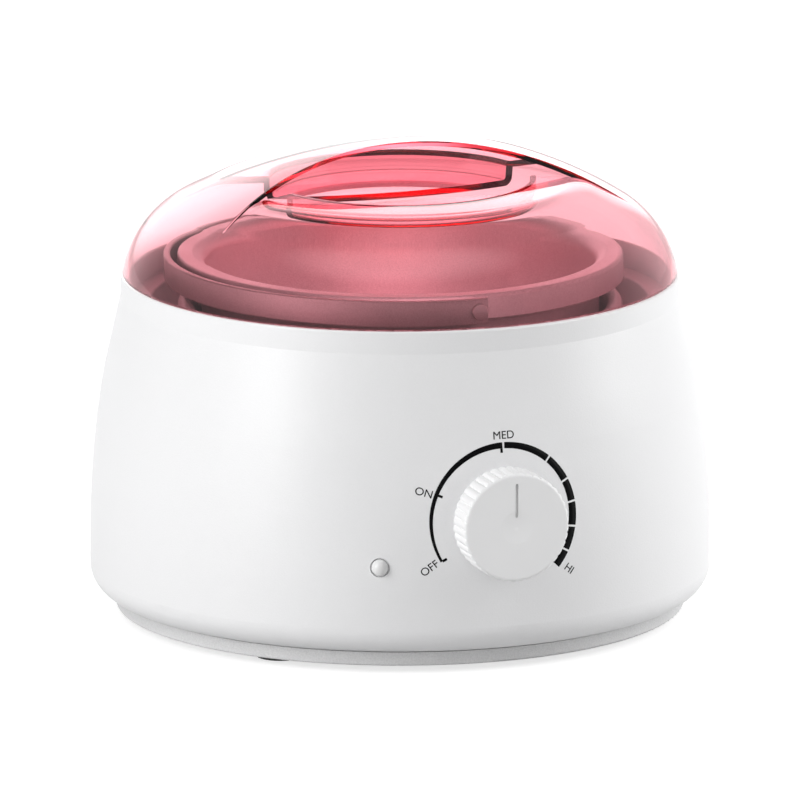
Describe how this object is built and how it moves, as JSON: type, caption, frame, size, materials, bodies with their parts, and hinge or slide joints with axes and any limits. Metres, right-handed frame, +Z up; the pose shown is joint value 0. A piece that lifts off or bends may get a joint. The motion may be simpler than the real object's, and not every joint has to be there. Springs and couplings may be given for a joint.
{
  "type": "candle wax melter",
  "caption": "Round heated wax warmer with a lift-out pot on a strap bail, a clear tinted lid with a pinch ridge, a ribbed control knob, an indicator lens and a vented base.",
  "frame": {"origin": "on the floor, on the axis of the pot, level with the undersides of the feet", "axes": "+Z up; the control knob faces -Y and the cord entry faces +Y; the lid's grip ridge runs along X; the bail is folded down round the -X side"},
  "size_m": [0.185, 0.1977, 0.1432],
  "materials": {
    "white_shell": "satin white moulding",
    "white_base": "matt white moulding",
    "ring_plastic": "satin heat-proof white moulding",
    "screw_steel": "zinc plated",
    "well_aluminium": "drawn aluminium",
    "shield_steel": "thin bright sheet",
    "mica": "mica sheet heater",
    "fuse_case": "sealed case",
    "switch_case": "dark moulded case",
    "brass_nut": "plain brass",
    "bulb_copper": "copper",
    "lens_clear": "clear domed light pipe",
    "lamp_body": "small lamp",
    "rubber_black": "soft rubber",
    "terminal_plastic": "moulded terminal block",
    "pot_aluminium": "satin aluminium",
    "rivet_steel": "plain rivet",
    "bail_metal": "satin strap",
    "lid_tint": "clear pink moulded plastic",
    "knob_white": "satin white moulding",
    "shaft_metal": "turned shaft",
    "rubber_foot": "soft rubber"
  },
  "bodies": {
    "housing": {"housing_shell": "white_shell", "base_cover": "white_base", "base_screws": "screw_steel", "well_ring": "ring_plastic", "ring_screws": "screw_steel", "heater_well": "well_aluminium", "well_screws": "screw_steel", "heat_shield": "shield_steel", "heating_sheet": "mica", "pressure_plate": "shield_steel", "plate_nuts": "screw_steel", "thermal_fuse": "fuse_case", "fuse_clip": "shield_steel", "thermostat_body": "switch_case", "thermostat_nut": "brass_nut", "capillary_bulb": "bulb_copper", "bulb_clip": "shield_steel", "indicator_lens": "lens_clear", "indicator_lamp": "lamp_body", "cord_gland": "rubber_black", "terminal_block": "terminal_plastic", "foot_front_left": "rubber_foot", "foot_front_right": "rubber_foot", "foot_rear_left": "rubber_foot", "foot_rear_right": "rubber_foot"},
    "pot": {"wax_pot": "pot_aluminium", "bail_rivet_front": "rivet_steel", "bail_rivet_rear": "rivet_steel"},
    "bail": {"bail_band": "bail_metal"},
    "lid": {"lid": "lid_tint"},
    "knob": {"knob": "knob_white", "thermostat_shaft": "shaft_metal"}
  },
  "joints": [
    {"name": "pot_lift", "type": "slide", "parent": "housing", "child": "pot", "axis": [0, 0, 1], "range_m": [0, 0.12]},
    {"name": "lid_lift", "type": "slide", "parent": "pot", "child": "lid", "axis": [0, 0, 1], "range_m": [0, 0.25]},
    {"name": "bail_swing", "type": "hinge", "parent": "pot", "child": "bail", "pos_m": [0, 0, 0.1052], "axis": [0, 1, 0], "range_deg": [0, 180]},
    {"name": "knob_turn", "type": "hinge", "parent": "housing", "child": "knob", "pos_m": [0, -0.093, 0.047], "axis": [0, 1, 0], "range_deg": [-126, 130]}
  ],
  "couplings": [
    {"joint": "bail_swing", "follows": "lid_lift", "rad_per_m": 6.2832}
  ]
}
